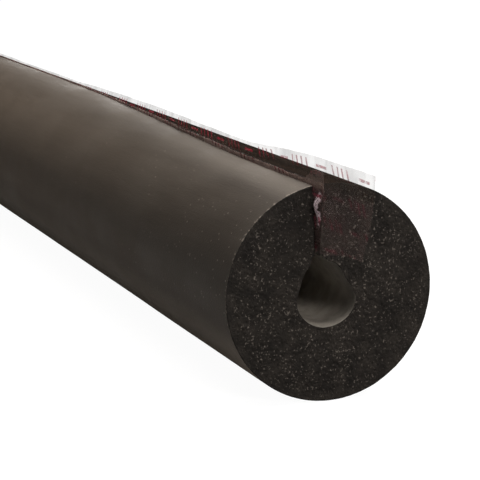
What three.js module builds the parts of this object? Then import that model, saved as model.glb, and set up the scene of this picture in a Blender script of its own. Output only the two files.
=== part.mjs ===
// Foam pipe insulation tube, split along its top, with a release film on each face of the split.
//
// Frame: X runs along the tube, Y across it and Z up. The tube rests on the floor at Z = 0, and the
// origin is on the floor under the middle of its length. All sizes are in millimetres.
// In a section, a point's x is Y across from the skin's axis, and its y is Z up from that axis.

import * as THREE from 'three';

// Tube sizes. The bore's offset is how far its centre lies to the +Y side of the skin's centre.
const BORE_DIAMETER = 22;
const WALL_THICKNESS = 25;
const TUBE_LENGTH = 2000;
const BORE_OFFSET = -1.3;

// Film sizes, the same for both films. The clearance is to the face of the split behind a film.
const FILM_THICKNESS = 0.2;
const FILM_CLEARANCE = 0.3;
const FILM_FOOT_ABOVE_BORE = 1;

// Split sizes. It is cut upright beside the bore's centre, and its faces part towards the skin.
// The root gap is what is left between the two films where the split meets the bore.
const SPLIT_OFFSET = -4.8;
const SPLIT_ROOT_GAP = 0.6;
const SPLIT_FLARE = 1.8;

// The parted bore is drawn up into a peak under the split, this far above its round
const BORE_PEAK_RISE = 1.6;

// How the films stand out: their height above the skin, their reach past the tube's ends at the top
// and at the foot, and the stretch over which each end rides up out of the split, and how far
const TALL_FILM = { proud: 4.7, topReach: 38, footReach: 33, liftLength: 80, endLift: 3.4 };
const SHORT_FILM = { proud: 2, topReach: 8, footReach: 4, liftLength: 8, endLift: 3.2 };

// Facets in a full turn of the round surfaces
const SKIN_FACETS = 64;
const BORE_FACETS = 48;

// Sizes that follow from the ones above
const FULL_TURN = 2 * Math.PI;
const boreRadius = BORE_DIAMETER / 2;
const skinRadius = boreRadius + WALL_THICKNESS;
const skinStep = FULL_TURN / SKIN_FACETS;
const axisHeight = skinRadius * Math.cos(skinStep / 2);
const rootHeight = boreRadius + BORE_PEAK_RISE;
const rootWidth = 2 * (FILM_CLEARANCE + FILM_THICKNESS) + SPLIT_ROOT_GAP;
const mouthWidth = rootWidth + SPLIT_FLARE;

const foamMaterial = new THREE.MeshStandardMaterial({ color: 0x2f2c29, roughness: 0.95, metalness: 0 });
const filmLook = { color: 0xe6dfdc, roughness: 0.3, metalness: 0, transparent: true, opacity: 0.45 };

// A point on a circle whose centre lies across from the axis, at an angle from the top towards +Y
function pointAtAngle(centreAcross, radius, angle) {
  return new THREE.Vector2(centreAcross + radius * Math.sin(angle), radius * Math.cos(angle));
}

// The angle of a point, from the top towards +Y, about a centre that lies across from the axis
function angleOf(point, centreAcross) {
  return Math.atan2(point.x - centreAcross, point.y);
}

// One face of the split, from its root at the bore to its mouth at the skin.
// side is 1 for the face towards +Y and -1 for the other, and lean is how far the face tips that way.
function splitFace(side) {
  const root = new THREE.Vector2(SPLIT_OFFSET + (side * rootWidth) / 2, rootHeight);
  const mouthAcross = SPLIT_OFFSET + (side * mouthWidth) / 2;
  const mouth = new THREE.Vector2(mouthAcross, Math.sqrt(skinRadius ** 2 - mouthAcross ** 2));
  const lean = Math.atan2(mouth.x - root.x, mouth.y - root.y);
  return { root, mouth, lean, length: root.distanceTo(mouth) };
}

// Points round the skin, from the +Y lip of the split over the floor to its other lip.
// The facets are placed so that one of them lies flat on the floor.
function skinPoints() {
  const from = splitFace(1).mouth;
  const to = splitFace(-1).mouth;
  const endAngle = angleOf(to, 0) + FULL_TURN;
  const points = [from];
  let angle = (Math.floor(angleOf(from, 0) / skinStep + 0.5) + 0.5) * skinStep;
  while (angle < endAngle) {
    points.push(pointAtAngle(0, skinRadius, angle));
    angle += skinStep;
  }
  points.push(to);
  return points;
}

// The angle about the bore's centre at which a straight flank from a root of the split meets the round
function flankAngle(side) {
  const root = splitFace(side).root;
  const reach = Math.hypot(root.x - BORE_OFFSET, root.y);
  return angleOf(root, BORE_OFFSET) + side * Math.acos(boreRadius / reach);
}

// Points round the bore, from the -Y flank back under the axis to the +Y flank
function borePoints() {
  const from = flankAngle(-1) + FULL_TURN;
  const to = flankAngle(1);
  const facets = Math.ceil((BORE_FACETS * (from - to)) / FULL_TURN);
  return Array.from({ length: facets + 1 }, (_, i) =>
    pointAtAngle(BORE_OFFSET, boreRadius, from + ((to - from) * i) / facets));
}

// The foam tube: its section, extruded along X about the middle of its length
function makeTube() {
  const section = new THREE.Shape([
    ...skinPoints(),
    splitFace(-1).root,
    ...borePoints(),
    splitFace(1).root,
  ]);
  const geometry = new THREE.ExtrudeGeometry(section, { depth: TUBE_LENGTH, bevelEnabled: false });
  geometry.translate(0, 0, -TUBE_LENGTH / 2);
  const sectionToPart = new THREE.Matrix4().makeBasis(
    new THREE.Vector3(0, 1, 0),
    new THREE.Vector3(0, 0, 1),
    new THREE.Vector3(1, 0, 0),
  );
  geometry.applyMatrix4(sectionToPart);
  const tube = new THREE.Mesh(geometry, foamMaterial);
  tube.name = 'foam_tube';
  tube.position.z = axisHeight;
  return tube;
}

// The outline of a film, with X along the tube and Y up the face of the split from its root.
// Both ends are alike: they ride up out of the split and are cut on a slant.
function filmOutline(film, faceLength) {
  const tubeEnd = TUBE_LENGTH / 2;
  const top = faceLength + film.proud;
  const corners = [
    new THREE.Vector2(tubeEnd, FILM_FOOT_ABOVE_BORE),
    new THREE.Vector2(tubeEnd + film.footReach, FILM_FOOT_ABOVE_BORE + film.endLift),
    new THREE.Vector2(tubeEnd + film.topReach, top + film.endLift),
    new THREE.Vector2(tubeEnd, top + film.endLift),
    new THREE.Vector2(tubeEnd - film.liftLength, top),
  ];
  const farCorners = corners.map((corner) => new THREE.Vector2(-corner.x, corner.y));
  return new THREE.Shape([...corners, ...farCorners.reverse()]);
}

// A film standing along one face of the split. The group's Z axis runs up that face from its root.
function makeFilm(name, film, side) {
  const face = splitFace(side);
  const outline = filmOutline(film, face.length);
  const geometry = new THREE.ExtrudeGeometry(outline, { depth: FILM_THICKNESS, bevelEnabled: false });
  geometry.translate(0, 0, -FILM_THICKNESS / 2);
  geometry.rotateX(Math.PI / 2);
  const mesh = new THREE.Mesh(geometry, new THREE.MeshStandardMaterial(filmLook));
  mesh.name = name;
  mesh.position.y = -side * (FILM_CLEARANCE + FILM_THICKNESS / 2);
  const alongFace = new THREE.Group();
  alongFace.position.set(0, face.root.x, axisHeight + face.root.y);
  alongFace.rotation.x = -face.lean;
  alongFace.add(mesh);
  return alongFace;
}

const insulation = new THREE.Group();
insulation.add(makeTube());
insulation.add(makeFilm('release_film_tall', TALL_FILM, 1));
insulation.add(makeFilm('release_film_short', SHORT_FILM, -1));

export default insulation;
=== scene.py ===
"""A foam pipe insulation tube, split along its top, with a printed release film on each split face.

Frame: X runs along the tube, Y across it and Z up, with the floor at Z = 0. Sizes in the classes are
in millimetres. In a section of the tube, across is Y and up is Z from the axis of the skin.
"""

from __future__ import annotations

import logging
import math
from collections.abc import Sequence
from dataclasses import dataclass
from enum import Enum

import bpy
import numpy as np
from mathutils import Matrix, Vector
from mathutils.geometry import delaunay_2d_cdt


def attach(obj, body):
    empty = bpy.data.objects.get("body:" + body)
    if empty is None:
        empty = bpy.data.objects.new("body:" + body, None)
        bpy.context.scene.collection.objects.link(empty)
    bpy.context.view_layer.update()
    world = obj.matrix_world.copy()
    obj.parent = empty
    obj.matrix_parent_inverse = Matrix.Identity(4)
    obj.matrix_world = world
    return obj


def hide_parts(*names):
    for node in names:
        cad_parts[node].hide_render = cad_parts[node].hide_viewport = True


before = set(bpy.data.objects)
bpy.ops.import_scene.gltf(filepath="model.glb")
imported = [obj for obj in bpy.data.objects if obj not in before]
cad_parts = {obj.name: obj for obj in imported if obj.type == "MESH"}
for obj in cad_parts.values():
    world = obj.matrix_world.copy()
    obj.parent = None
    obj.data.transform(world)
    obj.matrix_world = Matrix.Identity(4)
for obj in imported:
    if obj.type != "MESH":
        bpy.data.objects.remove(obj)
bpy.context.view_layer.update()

log = logging.getLogger("pipe_insulation")

Array = np.ndarray
Colour = tuple[float, float, float, float]
Material = bpy.types.Material
Piece = bpy.types.Object
Socket = bpy.types.NodeSocket

MM = 0.001
FULL_TURN = 2 * math.pi
TUBE_LENGTH = 2000.0
HALF_LENGTH = TUBE_LENGTH / 2


class Side(Enum):
    """The two faces of the split, by the side of the tube that they are on."""

    RIGHT = 1
    LEFT = -1


class Surface(Enum):
    """The surfaces of the foam tube, in the order of its material slots."""

    SKIN = 0
    CUT = 1
    BORE = 2
    TACK = 3
    STRIP = 4


def smooth(share: Array) -> Array:
    """The height of an even S-shaped rise from 0 to 1, at each share of its length."""
    held = np.clip(share, 0.0, 1.0)
    return held * held * (3 - 2 * held)


def graded(length: float, finest: float, coarsest: float, growth: float) -> Array:
    """Positions from 0 to length that are close together at both ends and wider apart between.

    Args:
        length: the last position.
        finest: the first step at each end.
        coarsest: the widest step.
        growth: how much wider each step is than the one before.

    Returns:
        The positions, in order.
    """
    steps = [finest]
    while sum(steps) < length / 2:
        steps.append(min(coarsest, steps[-1] * growth))
    half = np.concatenate([[0.0], np.cumsum(steps)])
    half *= length / 2 / half[-1]
    return np.concatenate([half, length - half[-2::-1]])


@dataclass(frozen=True)
class Ripple:
    """A smooth unevenness made of a few crossing waves."""

    seed: int
    longest: float
    shortest: float
    waves: int = 7
    spread: float = 1.3

    def at(self, along: Array, across: Array) -> Array:
        """The unevenness, mostly between -1 and 1.

        Args:
            along: distances along the tube.
            across: distances round or across it, of a matching shape.

        Returns:
            The height of the unevenness at each point.
        """
        rng = np.random.default_rng(self.seed)
        total = np.zeros(np.broadcast(along, across).shape)
        for _ in range(self.waves):
            length = self.longest * (self.shortest / self.longest) ** rng.random()
            heading = rng.uniform(-self.spread, self.spread)
            turn = FULL_TURN / length
            travel = along * math.cos(heading) + across * math.sin(heading)
            total += np.cos(turn * travel + rng.uniform(0, FULL_TURN))
        return total / math.sqrt(2 * self.waves)


class MeshStock:
    """Points and faces gathered for one piece."""

    def __init__(self) -> None:
        """Starts with nothing."""
        self.points: list[Array] = []
        self.faces: list[tuple[int, ...]] = []
        self.kinds: list[int] = []
        self.count = 0

    def add_points(self, points: Array) -> Array:
        """Adds points in millimetres in the frame.

        Args:
            points: an array whose last axis is x, y, z.

        Returns:
            The indices of the new points, in the shape of the array without its last axis.
        """
        flat = points.reshape(-1, 3)
        indices = np.arange(self.count, self.count + len(flat))
        self.points.append(flat)
        self.count += len(flat)
        return indices.reshape(points.shape[:-1])

    def add_quads(self, grid: Array, kinds: Sequence[int], flip: bool = False) -> None:
        """Adds the faces between neighbouring rows and columns of a grid of points.

        Args:
            grid: indices of the points, rows by columns.
            kinds: the material slot of each strip between two columns.
            flip: whether the faces look the other way.
        """
        low, high = grid[:-1], grid[1:]
        order = (low[:, :-1], high[:, :-1], high[:, 1:], low[:, 1:])
        corners = np.stack(order[::-1] if flip else order, axis=-1)
        self.faces += [tuple(quad) for quad in corners.reshape(-1, 4).tolist()]
        self.kinds += list(kinds) * corners.shape[0]

    def make(self, name: str, materials: Sequence[Material]) -> Piece:
        """Makes the piece, in metres, and links it to the scene.

        Args:
            name: the name of the piece.
            materials: its materials, in the order of its slots.

        Returns:
            The new object.
        """
        mesh = bpy.data.meshes.new(name)
        mesh.from_pydata((np.concatenate(self.points) * MM).tolist(), [], self.faces)
        for material in materials:
            mesh.materials.append(material)
        mesh.polygons.foreach_set("material_index", self.kinds)
        mesh.polygons.foreach_set("use_smooth", [True] * len(self.faces))
        mesh.update()
        return put_in_scene(name, mesh)


def put_in_scene(name: str, data: bpy.types.ID) -> Piece:
    """Makes an object of a mesh, a lamp or a camera and links it to the scene.

    Args:
        name: the name of the object.
        data: what it shows.

    Returns:
        The object.
    """
    thing = bpy.data.objects.new(name, data)
    bpy.context.scene.collection.objects.link(thing)
    return thing


def add_point_values(piece: Piece, name: str, values: Array) -> None:
    """Keeps one number for each point of a piece, under the name that its material asks for."""
    attribute = piece.data.attributes.new(name, "FLOAT", "POINT")
    attribute.data.foreach_set("value", values.astype(np.float32).ravel())


class Wiring:
    """The nodes of one material, with short ways to add and join them."""

    def __init__(self, name: str) -> None:
        """Starts a material whose only shader is a Principled one.

        Args:
            name: the name of the material.
        """
        self.material = bpy.data.materials.new(name)
        self.material.use_nodes = True
        self.tree = self.material.node_tree
        self.tree.nodes.clear()
        self.shader = self.node("BsdfPrincipled")
        self.node("OutputMaterial", Surface=self.shader.outputs["BSDF"])

    def feed(self, socket: Socket, value: object) -> None:
        """Sets a socket to a constant, or joins it to another socket.

        Args:
            socket: the input.
            value: a number, a colour, a vector or an output socket.
        """
        if isinstance(value, Socket):
            self.tree.links.new(value, socket)
        else:
            socket.default_value = value

    def wire(self, node: bpy.types.Node, inputs: dict[str, object]) -> bpy.types.Node:
        """Sets inputs of a node.

        Args:
            node: the node.
            inputs: the value or source of each input by its name, with spaces as underscores.

        Returns:
            The same node.
        """
        for name, value in inputs.items():
            self.feed(node.inputs[name.replace("_", " ")], value)
        return node

    def node(self, kind: str, **inputs: object) -> bpy.types.Node:
        """Adds a node by its short type name, with inputs as for wire."""
        return self.wire(self.tree.nodes.new("ShaderNode" + kind), inputs)

    def finish(self, **inputs: object) -> None:
        """Sets inputs of the shader, as for wire."""
        self.wire(self.shader, inputs)

    def place(self) -> Socket:
        """The place of a point on the piece, in metres."""
        return self.node("TexCoord").outputs["Object"]

    def axes(self, vector: object) -> bpy.types.NodeOutputs:
        """The numbers of a vector, named X, Y and Z."""
        return self.node("SeparateXYZ", Vector=vector).outputs

    def value_of(self, name: str) -> Socket:
        """A number that a piece keeps for its points.

        Args:
            name: the name that it is kept under.

        Returns:
            The number at each point.
        """
        node = self.node("Attribute")
        node.attribute_name = name
        return node.outputs["Fac"]

    def stretch(self, vector: object, scale: tuple[float, float, float]) -> Socket:
        """A vector with each axis scaled by its own factor."""
        return self.node("Mapping", Vector=vector, Scale=scale).outputs["Vector"]

    def drawn(self, place: object) -> Socket:
        """Fine lines drawn out along the tube, as soft noise."""
        return self.noise(self.stretch(place, (0.12, 1.0, 1.0)), 0.004, 3.0)

    def math(self, kind: str, *values: object, clamp: bool = False, node_kind: str = "Math") -> Socket:
        """One operation on up to three numbers or vectors.

        Args:
            kind: the operation.
            *values: its inputs or their sources.
            clamp: whether the resulting number is held between 0 and 1.
            node_kind: Math for numbers and VectorMath for vectors.

        Returns:
            The result.
        """
        node = self.node(node_kind)
        node.operation = kind
        if clamp:
            node.use_clamp = True
        for socket, value in zip(node.inputs, values):
            self.feed(socket, value)
        return node.outputs[0]

    def times(self, first: object, second: object) -> Socket:
        """The product of two numbers."""
        return self.math("MULTIPLY", first, second)

    def plus(self, first: object, second: object) -> Socket:
        """The sum of two numbers."""
        return self.math("ADD", first, second)

    def apart(self, first: object, second: object) -> Socket:
        """How far apart two numbers are."""
        return self.math("ABSOLUTE", self.math("SUBTRACT", first, second))

    def between(self, value: object, low: float, high: float) -> Socket:
        """1 while a number is between two others, and 0 outside them."""
        return self.times(self.math("GREATER_THAN", value, low), self.math("LESS_THAN", value, high))

    def band(self, value: object, low: float, high: float, start: float = 0.0,
             end: float = 1.0) -> Socket:
        """A number moved smoothly from one range to another and held there.

        Args:
            value: the number.
            low: where the change starts.
            high: where it is complete.
            start: the result at and before low.
            end: the result at and after high.

        Returns:
            The moved number.
        """
        node = self.node("MapRange", Value=value, From_Min=low, From_Max=high, To_Min=start, To_Max=end)
        node.interpolation_type = "SMOOTHSTEP"
        return node.outputs["Result"]

    def noise(self, vector: object, size: float, detail: float = 2.0, roughness: float = 0.5) -> Socket:
        """Soft noise around 0.5.

        Args:
            vector: the coordinates.
            size: the size of its lumps, in the units of the coordinates.
            detail: how many finer layers it has.
            roughness: how strong they are.

        Returns:
            The noise.
        """
        node = self.node("TexNoise", Vector=vector, Scale=1 / size, Detail=detail, Roughness=roughness)
        return node.outputs["Fac"]

    def shake(self, vector: object, size: float, reach: float) -> Socket:
        """A vector moved about by soft noise.

        Args:
            vector: the vector.
            size: the size of the noise's lumps.
            reach: how far it moves the vector at most.

        Returns:
            The moved vector.
        """
        noise = self.node("TexNoise", Vector=vector, Scale=1 / size).outputs["Color"]
        centred = self.math("SUBTRACT", noise, (0.5, 0.5, 0.5), node_kind="VectorMath")
        return self.math("MULTIPLY_ADD", centred, (2 * reach,) * 3, vector, node_kind="VectorMath")

    def cells(self, vector: object, size: float) -> bpy.types.Node:
        """A pattern of cells of about one size, for its Distance and Color outputs."""
        return self.node("TexVoronoi", Vector=vector, Scale=1 / size)

    def lottery(self, cells: bpy.types.Node) -> Socket:
        """One random number from 0 to 1 for each cell of a cell pattern."""
        return self.node("SeparateColor", Color=cells.outputs["Color"]).outputs["Red"]

    def blend(self, share: object, first: object, second: object) -> Socket:
        """A colour between two.

        Args:
            share: 0 for the first colour and 1 for the second.
            first: a colour or its source.
            second: a colour or its source.

        Returns:
            The blended colour.
        """
        node = self.node("Mix", Factor=share)
        node.data_type = "RGBA"
        for socket, value in zip([s for s in node.inputs if s.type == "RGBA"], (first, second)):
            self.feed(socket, value)
        return next(s for s in node.outputs if s.type == "RGBA")

    def bump(self, height: object, depth: float, under: object = None) -> Socket:
        """A shading relief.

        Args:
            height: the height of the relief, from 0 to 1.
            depth: the real height of its 1, in metres.
            under: the normal of a relief that it lies on.

        Returns:
            The normal.
        """
        node = self.node("Bump", Distance=depth, Height=height)
        if under is not None:
            self.feed(node.inputs["Normal"], under)
        return node.outputs["Normal"]


@dataclass(frozen=True)
class SkinFinish:
    """The moulded skin of rubber foam: matt, faintly drawn along the tube, with pale specks, lightened
    underneath as a painted reflection of the floor and on top of its near end as a painted highlight."""

    name: str = "foam_skin"
    light: Colour = (0.026, 0.023, 0.0205, 1.0)
    dark: Colour = (0.017, 0.015, 0.0135, 1.0)
    # The pale speck colour, also used to paint a floor reflection underneath and a highlight on top of
    # the near end.
    dust_and_painted_light: Colour = (0.18, 0.157, 0.136, 1.0)
    bloom: Colour = (0.95, 0.72, 0.52, 1.0)
    bloom_weight: float = 0.22
    specular: float = 0.30
    underside_reflection: float = 0.80
    floor_reflection_line: float = 0.55
    end_top_highlight: float = 0.26

    def make(self) -> Material:
        """Builds the material.

        Returns:
            The material.
        """
        w = Wiring(self.name)
        place = w.place()
        blotches = w.noise(place, 0.045, 3.0)
        lines = w.drawn(place)
        grain = w.noise(place, 0.0006)
        tone = w.plus(w.times(blotches, 0.6), w.times(lines, 0.4))
        base = w.blend(w.band(tone, 0.38, 0.62), self.dark, self.light)
        parts = w.axes(place)
        along, height = parts["X"], parts["Z"]
        # Painted reflection of the pale floor: the skin is lightened towards the bottom and along the
        # floor line.
        low = w.math("ADD", w.band(height, 0.016, 0.029, self.underside_reflection, 0.0),
                     w.band(height, 0.003, 0.013, self.floor_reflection_line, 0.0), clamp=True)
        near_end_share = w.band(along, 0.83, 0.99)
        # Painted highlight: the top of the skin near the near end is lightened, as if light were glancing
        # along it.
        top = w.times(near_end_share, w.band(height, 0.0665, 0.0705, 0.0, self.end_top_highlight))
        dust_and_light_share = self.specks(w, place, near_end_share, along)
        dust_and_light_share = w.math("MAXIMUM", dust_and_light_share, w.plus(low, top), clamp=True)
        # The lightening covers real pale specks as well as the painted reflection and highlight.
        colour = w.blend(dust_and_light_share, base, self.dust_and_painted_light)
        relief = w.bump(grain, 0.00006)
        relief = w.bump(lines, 0.00012, relief)
        rough = w.band(blotches, 0.35, 0.65, 0.52, 0.66)
        w.finish(Base_Color=colour, Roughness=rough, Normal=relief, Specular_IOR_Level=self.specular)
        w.finish(Sheen_Weight=self.bloom_weight, Sheen_Roughness=0.3, Sheen_Tint=self.bloom)
        return w.material

    def specks(self, w: Wiring, place: object, near_end_share: object, along: object) -> Socket:
        """Pale specks in patches, more of them towards the end worn by handling, and pale flecks along
        its very edge.

        Args:
            w: the material's wiring.
            place: the coordinates.
            near_end_share: how close the skin is to the end worn by handling, from 0 to 1.
            along: the place along the tube, in metres.

        Returns:
            The strength of the specks.
        """
        cells = w.cells(place, 0.0017)
        luck = w.plus(w.lottery(cells), w.times(near_end_share, 0.11))
        near = w.band(cells.outputs["Distance"], 0.10, 0.24, 1.0, 0.0)
        patch = w.band(w.noise(place, 0.02), 0.44, 0.58)
        patch = w.math("MAXIMUM", patch, w.times(near_end_share, 0.8))
        loose = w.times(w.times(w.band(luck, 0.85, 1.0), near), patch)
        edge = w.band(w.math("ABSOLUTE", along), 0.9980, 0.9994)
        edge_flecks = w.band(w.noise(place, 0.0011, 1.0), 0.54, 0.66)
        return w.math("MAXIMUM", loose, w.times(edge_flecks, edge))


@dataclass(frozen=True)
class StripFinish:
    """The strip of skin beside the split, under the standing film: painted shade, darker and duller than
    the rest of the skin, with no pale specks.
    """

    name: str = "shaded_strip_skin"
    # Both tones are painted shade: the strip is darker than the rest of the skin where the standing film
    # shades it.
    light: Colour = (0.0125, 0.0095, 0.0078, 1.0)
    dark: Colour = (0.0075, 0.0060, 0.0050, 1.0)

    def make(self) -> Material:
        """Builds the material.

        Returns:
            The material.
        """
        w = Wiring(self.name)
        place = w.place()
        lines = w.drawn(place)
        colour = w.blend(w.band(lines, 0.4, 0.6), self.dark, self.light)
        relief = w.bump(w.noise(place, 0.0006), 0.00006)
        rough = w.band(lines, 0.3, 0.7, 0.85, 0.95)
        w.finish(Base_Color=colour, Roughness=rough, Normal=relief, Specular_IOR_Level=0.0)
        return w.material


@dataclass(frozen=True)
class CutFoamFinish:
    """Knife-cut foam: open cells, near black, with painted shade in some cell pits and painted glints on
    a few torn cell walls.
    """

    name: str = "cut_foam"
    wall: Colour = (0.0172, 0.0143, 0.0121, 1.0)
    # The darker tone, used for darker patches of wall and as painted shade in the cell pits.
    dark_and_pit_shade: Colour = (0.0074, 0.0061, 0.0052, 1.0)
    # The colour of the painted glints on torn cell walls.
    painted_glint: Colour = (0.112, 0.097, 0.085, 1.0)
    specular: float = 0.14

    def make(self) -> Material:
        """Builds the material.

        Returns:
            The material.
        """
        w = Wiring(self.name)
        place = w.place()
        torn = w.shake(place, 0.0009, 0.0007)
        cells = w.cells(torn, 0.0008)
        # Painted shade: some cell hollows are darkened as if in shadow.
        hollow = w.band(cells.outputs["Distance"], 0.15, 0.5, 1.0, 0.0)
        pit_shade_share = w.times(hollow, w.band(w.lottery(cells), 0.2, 0.8))
        patches = w.noise(place, 0.006)
        wall = w.blend(w.band(patches, 0.3, 0.7), self.dark_and_pit_shade, self.wall)
        colour = w.blend(pit_shade_share, wall, self.dark_and_pit_shade)
        small = self.flecks(w, place, 0.0008, 0.70, 0.8)
        large = self.flecks(w, torn, 0.0012, 0.74, 1.0)
        # Painted glints: flecks of torn cell wall are lightened, fewer near the rim.
        glint_share = w.times(w.math("MAXIMUM", small, large), w.value_of("open_cells"))
        colour = w.blend(glint_share, colour, self.painted_glint)
        relief = w.bump(w.noise(place, 0.0004), 0.00008)
        relief = w.bump(cells.outputs["Distance"], 0.00015, relief)
        rough = w.band(glint_share, 0.0, 1.0, 0.75, 0.40)
        w.finish(Base_Color=colour, Roughness=rough, Normal=relief, Specular_IOR_Level=self.specular)
        return w.material

    def flecks(self, w: Wiring, place: object, size: float, level: float, most: float) -> Socket:
        """Torn cell walls that catch the light: peaks of a fine noise, thicker in some places."""
        peaks = w.plus(w.noise(place, size, 1.0, 0.6), w.times(w.noise(place, 0.009, 1.0), 0.16))
        return w.band(peaks, level, level + 0.14, 0.0, most)


@dataclass(frozen=True)
class BoreFinish:
    """The inner skin of the tube: paler and smoother than the cut foam, darkened near each end as painted
    shade.
    """

    name: str = "bore_skin"
    light: Colour = (0.32, 0.292, 0.256, 1.0)
    dark: Colour = (0.24, 0.219, 0.192, 1.0)
    # Painted shade colour for the bore near each end of the tube.
    mouth: Colour = (0.07, 0.064, 0.056, 1.0)

    def make(self) -> Material:
        """Builds the material.

        Returns:
            The material.
        """
        w = Wiring(self.name)
        place = w.place()
        cloud = w.noise(place, 0.005, 3.0)
        grain = w.noise(place, 0.0005)
        # Painted shade: the bore darkens over its last 15 mm towards each end, against the light that
        # falls in at the mouth.
        mouth_shade_share = w.band(w.math("ABSOLUTE", w.axes(place)["X"]), 0.985, 1.0, 0.0, 0.7)
        colour = w.blend(w.band(cloud, 0.35, 0.65), self.dark, self.light)
        colour = w.blend(mouth_shade_share, colour, self.mouth)
        w.finish(Base_Color=colour, Roughness=w.band(grain, 0.3, 0.7, 0.55, 0.75))
        w.finish(Normal=w.bump(grain, 0.0001), Specular_IOR_Level=0.3)
        return w.material


@dataclass(frozen=True)
class TackFinish:
    """The adhesive coat on a split face: black foam under a thin wet-looking layer."""

    name: str = "tack_coat"
    base: Colour = (0.020, 0.018, 0.016, 1.0)
    streak: Colour = (0.035, 0.031, 0.027, 1.0)

    def make(self) -> Material:
        """Builds the material.

        Returns:
            The material.
        """
        w = Wiring(self.name)
        place = w.place()
        streaks = w.noise(w.stretch(place, (0.1, 1.0, 1.0)), 0.002)
        cells = w.cells(place, 0.001)
        colour = w.blend(w.band(streaks, 0.4, 0.7), self.base, self.streak)
        relief = w.bump(cells.outputs["Distance"], 0.0001)
        w.finish(Base_Color=colour, Roughness=w.band(streaks, 0.3, 0.7, 0.22, 0.4), Normal=relief)
        return w.material


@dataclass(frozen=True)
class FilmFinish:
    """Clear release film with a light haze, creases turned white by strain with a painted highlight on a
    crumpled end, and plain red marks printed on it.

    The film keeps two numbers for its points: how far it is creased, and how hazy and free it is. Its map
    runs in millimetres, along the film and up it. The ink is thinnest where the film lies on the
    foam, and fullest along its top edge. Its colour is painted light: full red only on the rows that
    stand clear above the foam against the backdrop, and darker as painted shade lower down and where
    the film lies on the foam.
    """

    name: str
    phase: float
    clear: Colour = (0.068, 0.044, 0.030, 1.0)
    stuck: Colour = (0.17, 0.118, 0.110, 1.0)
    # The white of strained creases, which also paints the highlight on a crumpled end.
    crease: Colour = (0.95, 0.80, 0.86, 1.0)
    ink: Colour = (0.64, 0.035, 0.085, 1.0)
    # Painted shade: darker ink colours for where the ink lies in front of the dark foam.
    shaded_low_ink: Colour = (0.15, 0.014, 0.024, 1.0)
    shaded_stuck_ink: Colour = (0.40, 0.08, 0.12, 1.0)
    pitch: float = 31.0
    row: float = 8.5
    row_start: float = -2.4
    stagger: float = 0.43
    slant: float = 0.6
    stroke_gap: float = 3.6
    strokes: int = 4
    stroke_span: tuple[float, float] = (3.7, 7.2)
    dash_span: tuple[float, float] = (20.0, 28.0)
    dash_height: float = 5.5
    # Heights on the film's map over which the ink turns from painted shade to full red.
    lit_ink_band: tuple[float, float] = (27.1, 28.5)
    ink_strength: float = 0.11
    free_ink: float = 0.37
    whiten_from: float = 0.45
    haze_low: float = 0.155
    haze_high: float = 0.005

    def marks(self, w: Wiring, along: object, up: object) -> Socket:
        """Where the ink is: staggered rows of plain marks, each a few slanted strokes and then a dash.

        Args:
            w: the material's wiring.
            along: the distance along the film.
            up: the distance up it.

        Returns:
            1 on the ink and 0 off it.
        """
        level = w.math("DIVIDE", w.math("SUBTRACT", up, self.row_start), self.row)
        shift = w.times(w.math("FLOOR", level), self.stagger)
        turn = w.plus(w.math("DIVIDE", along, self.pitch), shift)
        x = w.times(w.math("FRACT", w.plus(turn, self.phase)), self.pitch)
        y = w.times(w.math("FRACT", level), self.row)
        slanted = w.plus(x, w.times(y, self.slant))
        beat = w.math("FRACT", w.math("DIVIDE", slanted, self.stroke_gap))
        stroke = w.band(w.apart(beat, 0.5), 0.12, 0.21, 1.0, 0.0)
        group = w.between(slanted, self.stroke_gap, (1 + self.strokes) * self.stroke_gap)
        stroke = w.times(stroke, w.times(group, w.between(y, *self.stroke_span)))
        dash = w.band(w.apart(y, self.dash_height), 0.35, 0.6, 1.0, 0.0)
        return w.math("MAXIMUM", w.times(dash, w.between(x, *self.dash_span)), stroke)

    def make(self) -> Material:
        """Builds the material.

        Returns:
            The material.
        """
        w = Wiring(self.name)
        flat_map = w.node("UVMap")
        flat_map.uv_map = "film_flat"
        flat = flat_map.outputs["UV"]
        up = w.axes(flat)["Y"]
        worn = w.band(w.noise(flat, 2.5), 0.35, 0.5, 0.55, 1.0)
        ink = w.times(self.marks(w, w.axes(flat)["X"], up), worn)
        creased = w.value_of("creased")
        free = w.value_of("free")
        wrinkles = w.noise(w.stretch(flat, (1.0, 0.2, 1.0)), 4.0, 1.0)
        cloud = w.noise(flat, 12.0)
        haze = w.plus(self.haze_low, w.times(free, self.haze_high))
        uneven = w.plus(w.band(wrinkles, 0.40, 0.65, 0.85, 1.15), w.band(cloud, 0.38, 0.62, -0.2, 0.3))
        haze = w.times(haze, uneven)
        crazed = w.band(w.noise(flat, 0.8), 0.36, 0.56, 0.35, 1.0)
        # Strain whitening of creases, with a painted highlight on the crumpled end of the short film.
        whitening_and_highlight = w.times(w.band(creased, self.whiten_from, 1.0), crazed)
        haze = w.plus(haze, w.times(whitening_and_highlight, 0.75))
        strength = w.plus(self.ink_strength, w.times(free, self.free_ink))
        alpha = w.math("MAXIMUM", haze, w.times(ink, strength), clamp=True)
        colour = w.blend(free, self.stuck, self.clear)
        colour = w.blend(whitening_and_highlight, colour, self.crease)
        # Painted light on the ink: full red high up, where the film stands clear of the foam against the
        # backdrop, and painted shade lower down and where the film lies on the foam.
        lit_and_shaded_ink = w.blend(w.band(up, *self.lit_ink_band), self.shaded_low_ink, self.ink)
        colour = w.blend(ink, colour, w.blend(free, self.shaded_stuck_ink, lit_and_shaded_ink))
        w.finish(Base_Color=colour, Alpha=alpha, Normal=w.bump(wrinkles, 0.00006))
        w.finish(Roughness=0.28, Specular_IOR_Level=0.3)
        return w.material


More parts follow.
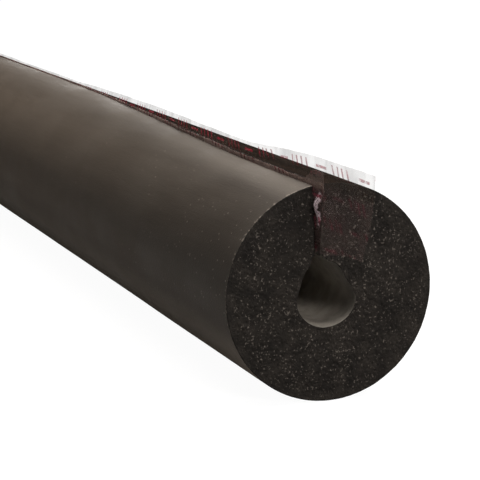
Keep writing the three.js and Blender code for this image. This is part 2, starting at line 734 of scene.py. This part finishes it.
TALL_FILM_FINISH = FilmFinish(name="tall_film", phase=0.25)
SHORT_FILM_FINISH = FilmFinish(
    name="short_film", phase=0.6, haze_high=0.315,
    clear=(0.33, 0.235, 0.205, 1.0), ink=(0.26, 0.035, 0.05, 1.0),
)


@dataclass(frozen=True)
class FloorFinish:
    """A plain white studio floor. It is seen nearly evenly white, with faint shadows, and throws
    only a little of its light back up at the object."""

    name: str = "studio_floor"
    seen_tone: float = 0.10
    seen_glow: float = 0.96
    lit_tone: float = 0.19

    def make(self) -> Material:
        """Builds the material.

        Returns:
            The material.
        """
        w = Wiring(self.name)
        seen = w.node("LightPath").outputs["Is Camera Ray"]
        tone = w.band(seen, 0.0, 1.0, self.lit_tone, self.seen_tone)
        mixed = w.node("CombineColor", Red=tone, Green=tone, Blue=tone)
        w.finish(Base_Color=mixed.outputs["Color"], Roughness=0.9, Specular_IOR_Level=0.0)
        glow = w.times(seen, self.seen_glow)
        w.finish(Emission_Color=(1.0, 1.0, 1.0, 1.0), Emission_Strength=glow)
        return w.material


@dataclass(frozen=True)
class SplitSection:
    """The section of the tube: its skin, its bore and the split that joins them.

    A press is a dent along the bore's wall: its depth, its place in degrees and its spread.
    """

    skin_radius: float = 36.0
    axis_height: float = 35.957
    bore_radius: float = 11.1
    bore_across: float = -1.3
    split_across: float = -4.8
    root_height: float = 12.6
    root_half_width: float = 0.8
    mouth_half_width: float = 1.7
    lip_round: float = 0.6
    presses: tuple[tuple[float, float, float], ...] = ((3.0, 58.0, 38.0), (1.5, -75.0, 26.0))
    wander_turn: float = 20.0
    wander_start: float = 30.0
    wander_rise: float = 320.0
    return_start: float = 600.0
    return_length: float = 1300.0

    def slack(self, along: Array) -> Array:
        """How far the soft tube has turned and its films have sunk, from 0 to 1.

        Args:
            along: places along the tube.

        Returns:
            The share of the full turn at each.
        """
        behind = HALF_LENGTH - along
        gone = smooth((behind - self.wander_start) / self.wander_rise)
        return gone * (1 - smooth((behind - self.return_start) / self.return_length))

    def turned(self, points: Array, along: Array) -> Array:
        """Points of a section turned with the tube, and kept above the floor.

        Args:
            points: the points, across and up.
            along: the place of each point along the tube.

        Returns:
            The turned points.
        """
        turn = np.radians(self.wander_turn) * self.slack(along)
        across = points[..., 0] * np.cos(turn) + points[..., 1] * np.sin(turn)
        up = points[..., 1] * np.cos(turn) - points[..., 0] * np.sin(turn)
        return np.stack([across, np.maximum(up, -self.axis_height)], axis=-1)

    def face_point(self, side: Side, share: Array) -> Array:
        """Points on one face of the split.

        Args:
            side: which face.
            share: 0 at the root and 1 at the mouth, and above 1 beyond it.

        Returns:
            The points, across and up.
        """
        root = np.array([self.split_across + side.value * self.root_half_width, self.root_height])
        mouth_across = self.split_across + side.value * self.mouth_half_width
        mouth = np.array([mouth_across, math.sqrt(self.skin_radius**2 - mouth_across**2)])
        return root + np.asarray(share)[..., None] * (mouth - root)

    def face_length(self, side: Side) -> float:
        """The height of a face of the split, measured up the face."""
        ends = self.face_point(side, np.array([0.0, 1.0]))
        return float(np.linalg.norm(ends[1] - ends[0]))

    def bore_reach(self, turn: Array) -> Array:
        """How far the bore's wall is from its centre: a round that is pressed in on both sides.

        Args:
            turn: the angle from the top towards the right, in degrees.

        Returns:
            The distance at each angle.
        """
        reach = np.full(turn.shape, self.bore_radius)
        for depth, place, spread in self.presses:
            reach -= depth * np.exp(-(((turn - place) / spread) ** 2))
        return reach


@dataclass
class FoamTube:
    """The foam tube, with an uneven skin, rounded lips, a drawn bore and two knife-cut ends."""

    section: SplitSection = SplitSection()
    name: str = "insulation_tube"
    node: str = "foam_tube"
    bore_columns: int = 60
    face_columns: int = 16
    point_spacing: float = 0.5
    strip_end: float = 36.0
    skin_wave_depth: float = 0.05
    skin_lobes: float = 0.025
    lip_drop: float = 0.15
    bore_wave: float = 0.22
    peak_turn: float = 16.0
    pit_share: float = 0.3
    pit_depths: tuple[float, float] = (0.1, 0.35)
    seed: int = 11
    skin_wave: Ripple = Ripple(seed=3, longest=260.0, shortest=60.0)
    face_wave: Ripple = Ripple(seed=5, longest=180.0, shortest=40.0)
    cut_wave: Ripple = Ripple(seed=8, longest=40.0, shortest=12.0, spread=3.1)

    def angles(self) -> Array:
        """Places the skin's columns, from the right lip over the floor to the left lip.

        Returns:
            The angle of each column.
        """
        first = self.section.face_point(Side.RIGHT, np.array(1.0))
        last = self.section.face_point(Side.LEFT, np.array(1.0))
        start = math.atan2(first[0], first[1])
        end = math.atan2(last[0], last[1]) + FULL_TURN
        arc = (end - start) * self.section.skin_radius
        return start + graded(arc, 0.3, 1.35, 1.25) / self.section.skin_radius

    def skin(self, angles: Array, along: Array) -> Array:
        """Points of the skin, which only ever sinks below its true round.

        Args:
            angles: the angles of the columns.
            along: the place of each row along the tube, as a column.

        Returns:
            The points, across and up.
        """
        s = self.section
        sink = self.skin_wave_depth * (1 + self.skin_wave.at(along, angles * s.skin_radius))
        sink = sink + self.skin_lobes * (1 - np.cos(3 * (angles - 2.1)))
        lip = np.minimum(angles - angles[0], angles[-1] - angles) * s.skin_radius
        sink = sink + self.lip_drop * np.clip(1 - lip / s.lip_round, 0, 1) ** 2
        reach = s.skin_radius - np.clip(sink, 0.0, None)
        return np.stack([reach * np.sin(angles), reach * np.cos(angles)], axis=-1)

    def face(self, side: Side, along: Array) -> Array:
        """Points of one face of the split, from its root to its mouth.

        Args:
            side: which face.
            along: the place of each row along the tube, as a column.

        Returns:
            The points, across and up.
        """
        s = self.section
        length = s.face_length(side)
        share = graded(2 * length, 0.3, 2.2, 1.35)
        share = 1 - share[share <= length + 0.001][::-1] / length
        line = s.face_point(side, share)
        waves = 0.16 * self.face_wave.at(along + 400 * side.value, share * length)
        waves = waves * smooth(share / 0.3)
        round_off = 0.08 * np.clip(1 - (1 - share) * length / s.lip_round, 0, 1) ** 2
        across = line[:, 0] + side.value * (round_off + np.clip(waves, -0.1, 0.12))
        up = np.broadcast_to(line[:, 1], across.shape)
        return np.stack([across, up], axis=-1)

    def bore(self, along: Array) -> Array:
        """Points of the bore's wall, from the left root of the split under the axis to the right one.

        Args:
            along: the place of each row along the tube, as a column.

        Returns:
            The points, across and up.
        """
        s = self.section
        centre = np.array([s.bore_across, 0.0])
        left = s.face_point(Side.LEFT, np.array(0.0)) - centre
        right = s.face_point(Side.RIGHT, np.array(0.0)) - centre
        start = math.atan2(left[0], left[1])
        end = math.atan2(right[0], right[1]) - FULL_TURN
        share = graded(1.0, 0.006, 1 / self.bore_columns, 1.2)
        angle = start + (end - start) * share
        turn = np.degrees(angle)
        turn = np.where(turn < -180, turn + 360, turn)
        reach = s.bore_reach(turn)
        wave = self.bore_wave * self.face_wave.at(along * 1.7, turn * 0.2)
        for root, place in ((left, start), (right, end)):
            away = smooth(np.abs(np.degrees(angle - place)) / self.peak_turn)
            reach = reach + (np.linalg.norm(root) - reach) * (1 - away)
            wave = wave * away
        reach = reach + wave
        across = s.bore_across + reach * np.sin(angle)
        return np.stack([across, reach * np.cos(angle)], axis=-1)

    def loops(self, along: Array) -> tuple[Array, list[int]]:
        """The section's outline at each row, as one closed loop without a repeated point.

        Args:
            along: the place of each row along the tube, as a column.

        Returns:
            The points across and up, rows by columns, and the surface of each strip between columns.
        """
        skin = self.skin(self.angles(), along)
        left = self.face(Side.LEFT, along)[:, ::-1]
        bore = self.bore(along)
        right = self.face(Side.RIGHT, along)
        middles = (self.angles()[1:] + self.angles()[:-1]) / 2
        # The strip of skin beside the split takes the painted-shade finish.
        strip_shade = middles < math.radians(self.strip_end)
        strips = [Surface.STRIP.value if in_shade else Surface.SKIN.value for in_shade in strip_shade]
        for kind, part in ((Surface.TACK, left), (Surface.BORE, bore), (Surface.TACK, right)):
            strips += [kind.value] * (part.shape[1] - 1)
        skin[:, 0] = right[:, -1]
        skin[:, -1] = left[:, 0]
        loops = np.concatenate([part[:, :-1] for part in (skin, left, bore, right)], axis=1)
        return self.section.turned(loops, np.broadcast_to(along, loops.shape[:2])), strips

    def end_points(self, loop: Array, rng: np.random.Generator) -> Array:
        """Scattered points that fill a cut end, clear of its outline.

        Args:
            loop: the outline of the end, across and up.
            rng: the source of the scatter.

        Returns:
            The points, across and up.
        """
        step = self.point_spacing
        reach = self.section.skin_radius
        rows = np.arange(-reach, reach, step * math.sqrt(3) / 2)
        columns = np.arange(-reach, reach, step)
        across, up = np.meshgrid(columns, rows)
        across = across + (np.arange(len(rows)) % 2)[:, None] * step / 2
        points = np.stack([across.ravel(), up.ravel()], axis=-1)
        points += rng.uniform(-0.32, 0.32, points.shape) * step
        ahead = np.roll(loop, -1, axis=0)
        inside = np.zeros(len(points), bool)
        clear = np.full(len(points), np.inf)
        for a, b in zip(loop, ahead):
            between = (a[1] > points[:, 1]) != (b[1] > points[:, 1])
            rise = (b[1] - a[1]) or 1e-9
            inside ^= between & (points[:, 0] < a[0] + (points[:, 1] - a[1]) / rise * (b[0] - a[0]))
            edge = b - a
            share = np.clip((points - a) @ edge / max(edge @ edge, 1e-12), 0, 1)
            clear = np.minimum(clear, np.linalg.norm(points - a - share[:, None] * edge, axis=1))
        return points[inside & (clear > 0.55 * step)]

    def close_end(self, stock: MeshStock, loop: Array, ring: Array, end: int) -> Array:
        """Fills one end with cut foam whose open cells are dents in the surface.

        Args:
            stock: the tube's points and faces.
            loop: the outline of the end, across and up.
            ring: the indices of the outline's points.
            end: 1 for the +X end and -1 for the other.

        Returns:
            How open the cells are at each new point, from 0 to 1.
        """
        rng = np.random.default_rng(self.seed + end)
        inner = self.end_points(loop, rng)
        count = len(loop)
        corners = [Vector(point) for point in np.concatenate([loop, inner]).tolist()]
        border = [(i, (i + 1) % count) for i in range(count)]
        found = delaunay_2d_cdt(corners, border, [], 1, 1e-6)
        triangles, sources = found[2], found[3]
        from_rim = self.section.skin_radius - np.linalg.norm(inner, axis=1)
        open_cells = 0.25 + 0.75 * smooth((from_rim - 0.6) / 3.0)
        depth = 0.05 * rng.standard_normal(len(inner))
        pits = rng.random(len(inner)) < self.pit_share
        depth -= np.where(pits, rng.uniform(*self.pit_depths, len(inner)), 0.0)
        depth = depth * open_cells - 0.12 - 0.1 * (1 + self.cut_wave.at(inner[:, 0], inner[:, 1]))
        place = end * (HALF_LENGTH + np.minimum(depth, 0.0))
        height = self.section.axis_height + inner[:, 1]
        added = stock.add_points(np.column_stack([place, inner[:, 0], height]))
        known = np.concatenate([ring, added])
        new_to_known = [known[source[0]] for source in sources]
        faces = [tuple(int(new_to_known[i]) for i in face) for face in triangles]
        stock.faces += faces if end > 0 else [face[::-1] for face in faces]
        stock.kinds += [Surface.CUT.value] * len(faces)
        return open_cells

    def build(self, finishes: Sequence[Material]) -> Piece:
        """Builds the tube and puts it in the place of its node.

        Args:
            finishes: the materials, in the order of the tube's surfaces.

        Returns:
            The tube.
        """
        along = (graded(TUBE_LENGTH, 0.3, 15.0, 1.25) - HALF_LENGTH)[:, None]
        loops, strips = self.loops(along)
        rng = np.random.default_rng(self.seed)
        stock = MeshStock()
        x = np.broadcast_to(along, loops.shape[:2]).copy()
        x[0] += rng.uniform(0.0, 0.2, loops.shape[1])
        x[-1] -= rng.uniform(0.0, 0.2, loops.shape[1])
        points = np.stack([x, loops[..., 0], loops[..., 1] + self.section.axis_height], axis=-1)
        grid = stock.add_points(points)
        closed = np.concatenate([grid, grid[:, :1]], axis=1)
        stock.add_quads(closed, strips)
        openness = [np.zeros(stock.count)]
        openness.append(self.close_end(stock, loops[-1], grid[-1], 1))
        openness.append(self.close_end(stock, loops[0], grid[0], -1))
        tube = stock.make(self.name, finishes)
        add_point_values(tube, "open_cells", np.concatenate(openness))
        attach(tube, "root")
        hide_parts(self.node)
        return tube


@dataclass
class ReleaseFilm:
    """A release film standing on one face of the split, past the skin and past both ends."""

    name: str
    node: str
    side: Side
    proud: float
    top_reach: float
    foot_reach: float
    lift: float
    lift_length: float
    sunk_proud: float
    flat_width: float
    seed: int
    crumpled: bool = False
    section: SplitSection = SplitSection()
    clearance: float = 0.4
    give: float = 0.2
    crumple_height: float = 28.7
    crumple_width: float = 6.8
    fold_reach: float = 3.1
    fold_width: float = 2.7
    foot: float = 1.0
    thickness: float = 0.06
    edge_wave: float = 0.22
    sink_power: float = 1.6
    slant_from: float = 0.0
    slant_length: float = 0.6
    clear_from: float = 50.0
    columns: int = 34
    row_steps: tuple[float, ...] = (2.0, 8.0, 2.8, 1.4)

    def stations(self) -> Array:
        """Places the rows along the film, closest where it is seen from near.

        Returns:
            The place of each row along the tube.
        """
        past = np.linspace(HALF_LENGTH, HALF_LENGTH + self.top_reach, int(self.top_reach / 0.9) + 2)
        places = (-HALF_LENGTH, -940.0, 550.0, 850.0, HALF_LENGTH)
        rows = [np.arange(*part) for part in zip(places[:-1], places[1:], self.row_steps)]
        return np.concatenate([-past[:0:-1], *rows, past])

    def creases(self) -> list[tuple[float, float, float, float]]:
        """Scatters the creases, closer together towards the ends.

        Returns:
            The place, lean, height and width of each crease.
        """
        rng = np.random.default_rng(self.seed)
        half = HALF_LENGTH + self.top_reach
        places = list(rng.uniform(-half, half, 60))
        places += list(half - rng.exponential(60.0, 26))
        places += list(-half + rng.exponential(60.0, 14))
        return [(x, rng.normal(0.0, 0.25), rng.normal(0.0, 0.28), rng.uniform(0.9, 3.0)) for x in places]

    def stand(self) -> tuple[Array, Array, Array, Array]:
        """The film as it stands, before it has a thickness, in rows and columns of points.

        Returns:
            The points, how creased and how hazy each one is, and its place on the flat film.
        """
        s = self.section
        station = self.stations()[:, None]
        share = np.linspace(0.0, 1.0, self.columns + 1)[None, :]
        past = np.clip((np.abs(station) - HALF_LENGTH) / self.top_reach, 0.0, 1.0)
        slant = smooth((share - self.slant_from) / self.slant_length)
        reach = self.foot_reach + (self.top_reach - self.foot_reach) * slant
        along = np.sign(station) * (np.minimum(np.abs(station), HALF_LENGTH) + past * reach)
        face_length = s.face_length(self.side)
        wander = Ripple(seed=self.seed, longest=190.0, shortest=45.0)
        risen = smooth((np.abs(station) - HALF_LENGTH + self.lift_length) / self.lift_length)
        sunk = (self.proud - self.sunk_proud) * s.slack(station) ** self.sink_power
        top = face_length + self.proud - sunk + self.lift * risen
        top = top + self.edge_wave * wander.at(station, np.zeros_like(station)) * (1 - risen)
        low = self.foot + self.lift * smooth(past * 1.2)
        height = low + (top - low) * share
        above = height - face_length
        free = smooth((above + 1.3) / 1.6)
        loose = np.maximum(free, smooth(past * 3.0))
        hazy = free * (1 - 0.8 * smooth((above - self.clear_from) / 1.2))
        line = s.face_point(self.side, height / face_length)
        stuck = line[..., 0] - self.side.value * self.clearance
        swell = Ripple(seed=self.seed + 1, longest=120.0, shortest=22.0)
        across = stuck + (0.05 + 0.45 * loose) * swell.at(along, height * 2)
        creased = np.zeros(across.shape)
        for place, lean, rise, width in self.creases():
            off = (along - place - lean * above) / width
            across = across + rise * np.exp(-np.abs(off)) * (0.12 + 0.88 * loose)
            creased += 0.5 * abs(rise) * np.exp(-(off**2) * 6) * (0.25 + 0.75 * loose)
        if self.crumpled:
            bend, worn = self.crumple(along, line[..., 1])
            across = across + bend
            creased += worn
        held = (np.abs(station) <= HALF_LENGTH) & (height < face_length + 0.6)
        pressed = np.minimum(self.side.value * (across - stuck), self.give)
        across = np.where(held, stuck + self.side.value * pressed, across)
        placed = s.turned(np.stack([across, line[..., 1]], axis=-1), along)
        points = np.stack([along, placed[..., 0], placed[..., 1] + s.axis_height], axis=-1)
        printed = height - top + face_length + self.proud + self.lift
        return points, np.clip(creased, 0, 1), hazy, np.stack([along, printed], axis=-1)

    def build(self, finish: Material, rests_on: Piece) -> Piece:
        """Builds the film and puts it in the place of its node.

        Args:
            finish: the film's material.
            rests_on: the tube that holds it; not used.

        Returns:
            The film.
        """
        points, creased, hazy, flat = self.stand()
        offset = np.array([0.0, self.thickness / 2, 0.0])
        stock = MeshStock()
        front = stock.add_points(points + offset)
        back = stock.add_points(points - offset)
        slots = [0] * self.columns
        stock.add_quads(front, slots, flip=True)
        stock.add_quads(back, slots)
        foot, top_edge, first_end, last_end = (np.s_[:, 0], np.s_[:, -1], 0, -1)
        for edge, flip in ((foot, False), (top_edge, True), (first_end, True), (last_end, False)):
            stock.add_quads(np.stack([front[edge], back[edge]], axis=1), [0], flip=flip)
        film = stock.make(self.name, [finish])
        add_point_values(film, "creased", np.tile(creased.ravel(), 2))
        add_point_values(film, "free", np.tile(hazy.ravel(), 2))
        flat = np.tile(flat.reshape(-1, 2), (2, 1))
        corners = np.empty(len(film.data.loops), np.int32)
        film.data.loops.foreach_get("vertex_index", corners)
        flat_map = film.data.uv_layers.new(name="film_flat")
        flat_map.data.foreach_set("uv", flat[corners].astype(np.float32).ravel())
        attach(film, "root")
        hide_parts(self.node)
        return film

    def crumple(self, along: Array, up: Array) -> tuple[Array, Array]:
        """How an end worn by handling is crushed sideways into the gap, and how white that has made it:
        strain whitening with a painted highlight.

        Args:
            along: places along the tube.
            up: heights above the axis.

        Returns:
            The shift across, and the whitening with its painted highlight, from 0 to 1.
        """
        past = np.abs(along) - HALF_LENGTH
        near = smooth((past + 2.0) / 4.0)
        middle = np.exp(-(((up - self.crumple_height) / self.crumple_width) ** 2))
        folds = 0.6 * np.sin(up * 2.9 + past * 0.9) + 0.4 * np.sin(up * 5.3 - past * 1.7)
        bend = near * middle * (0.5 * np.sin(up * 0.75 + 1.2) + 0.3 * folds)
        fold_line = self.fold_reach + 0.9 * np.sin(up * 0.8 + 0.6)
        # Painted highlight, partly strain whitening: a white band along a fold just past the end.
        worn = 1.2 * np.exp(-(((past - fold_line) / self.fold_width) ** 2))
        worn = worn * np.clip(middle * 1.6 - 0.35, 0, 1)
        return bend, np.clip(worn * (1.0 + 0.45 * folds), 0, 1)


@dataclass
class Studio:
    """The floor, the lights and the camera at the photograph's viewing angle."""

    lens: float = 132.4
    sensor: float = 36.0
    eye: tuple[float, float, float] = (1.5046, -0.2297, 0.1642)
    right: tuple[float, float, float] = (0.36599, 0.930617, -0.000188)
    up: tuple[float, float, float] = (-0.18259, 0.072007, 0.980549)
    back: tuple[float, float, float] = (0.91253, -0.358841, 0.196274)
    floor_size: float = 14.0
    backdrop: float = 1.0
    ambient: float = 0.08
    lamp_colour: tuple[float, float, float] = (1.0, 0.96, 0.91)
    surround: Colour = (1.0, 0.99, 0.975, 1.0)

    def camera(self) -> None:
        """Places the camera."""
        camera = bpy.data.cameras.new("photo_camera")
        camera.lens = self.lens
        camera.sensor_width = self.sensor
        camera.clip_start = 0.01
        holder = put_in_scene("photo_camera", camera)
        turn = Matrix((self.right, self.up, self.back)).transposed()
        holder.matrix_world = Matrix.Translation(self.eye) @ turn.to_4x4()
        bpy.context.scene.camera = holder

    def softbox(self, name: str, place: Sequence[float], aim: Sequence[float],
                size: tuple[float, float], power: float) -> None:
        """Adds one rectangular lamp that isn't seen itself.

        Args:
            name: the name of the lamp.
            place: where it is.
            aim: the point that it shines at.
            size: its width and height.
            power: its power in watts.
        """
        lamp = bpy.data.lights.new(name, "AREA")
        lamp.shape = "RECTANGLE"
        lamp.size, lamp.size_y = size
        lamp.energy = power
        lamp.color = self.lamp_colour
        holder = put_in_scene(name, lamp)
        holder.location = place
        holder.rotation_euler = (Vector(aim) - Vector(place)).to_track_quat("-Z", "Y").to_euler()
        holder.visible_camera = False

    def lights(self) -> None:
        """Adds the lamps: two over the near end, a low one behind and one that shines into the bore."""
        self.softbox("side_box", (1.05, 0.35, 0.76), (0.93, 0.0, 0.0), (0.55, 0.55), 12.0)
        self.softbox("overhead_box", (1.03, -0.15, 0.8), (0.93, 0.0, 0.0), (0.6, 0.6), 4.4)
        self.softbox("back_box", (-1.6, 1.4, 0.82), (0.8, 0.0, 0.05), (1.6, 0.9), 21.5)
        self.softbox("front_box", (2.35, 0.2, 0.6), (1.0, 0.0, 0.03), (0.35, 0.35), 14.0)

    def world(self) -> None:
        """A plain white surround that lights the object weakly."""
        world = bpy.data.worlds.new("studio_surround")
        world.use_nodes = True
        nodes, links = world.node_tree.nodes, world.node_tree.links
        nodes.clear()
        seen = nodes.new("ShaderNodeLightPath").outputs["Is Camera Ray"]
        strength = nodes.new("ShaderNodeMapRange")
        strength.inputs["To Min"].default_value = self.ambient
        strength.inputs["To Max"].default_value = self.backdrop
        background = nodes.new("ShaderNodeBackground")
        output = nodes.new("ShaderNodeOutputWorld")
        links.new(seen, strength.inputs["Value"])
        links.new(strength.outputs["Result"], background.inputs["Strength"])
        links.new(background.outputs["Background"], output.inputs["Surface"])
        background.inputs["Color"].default_value = self.surround
        bpy.context.scene.world = world

    def floor(self, finish: Material) -> None:
        """Lays the floor just under the object.

        Args:
            finish: the floor's material.
        """
        half = self.floor_size / 2
        mesh = bpy.data.meshes.new("studio_floor")
        corners = [(-half, -half, 0.0), (half, -half, 0.0), (half, half, 0.0), (-half, half, 0.0)]
        mesh.from_pydata(corners, [], [(0, 1, 2, 3)])
        mesh.materials.append(finish)
        floor = put_in_scene("studio_floor", mesh)
        floor.location.z = -0.0003

    def build(self) -> None:
        """Builds the whole studio."""
        self.camera()
        self.lights()
        self.world()
        self.floor(FloorFinish().make())
        bpy.context.scene.view_settings.view_transform = "Standard"


def main() -> None:
    """Builds every piece in order and says what each one is."""
    logging.basicConfig(level=logging.INFO, format="%(message)s")
    kinds = (SkinFinish(), CutFoamFinish(), BoreFinish(), TackFinish(), StripFinish())
    foam = [kind.make() for kind in kinds]
    tube = FoamTube().build(foam)
    tall = ReleaseFilm(
        name="tall_release_film", node="release_film_tall", side=Side.RIGHT, seed=21,
        proud=4.7, sunk_proud=1.1, top_reach=38.0, foot_reach=33.0,
        lift=3.4, lift_length=80.0, flat_width=30.5,
    ).build(TALL_FILM_FINISH.make(), tube)
    short = ReleaseFilm(
        name="short_release_film", node="release_film_short", side=Side.LEFT, seed=34,
        proud=1.3, sunk_proud=0.7, top_reach=8.0, foot_reach=4.0,
        lift=3.9, lift_length=8.0, flat_width=26.0,
        slant_from=0.3, slant_length=0.5, clear_from=1.3, crumpled=True,
    ).build(SHORT_FILM_FINISH.make(), tube)
    for piece in (tube, tall, short):
        log.info("%s: %d faces", piece.name, len(piece.data.polygons))
    Studio().build()
    log.info("studio: floor, lights and camera")


if __name__ == "__main__":
    main()
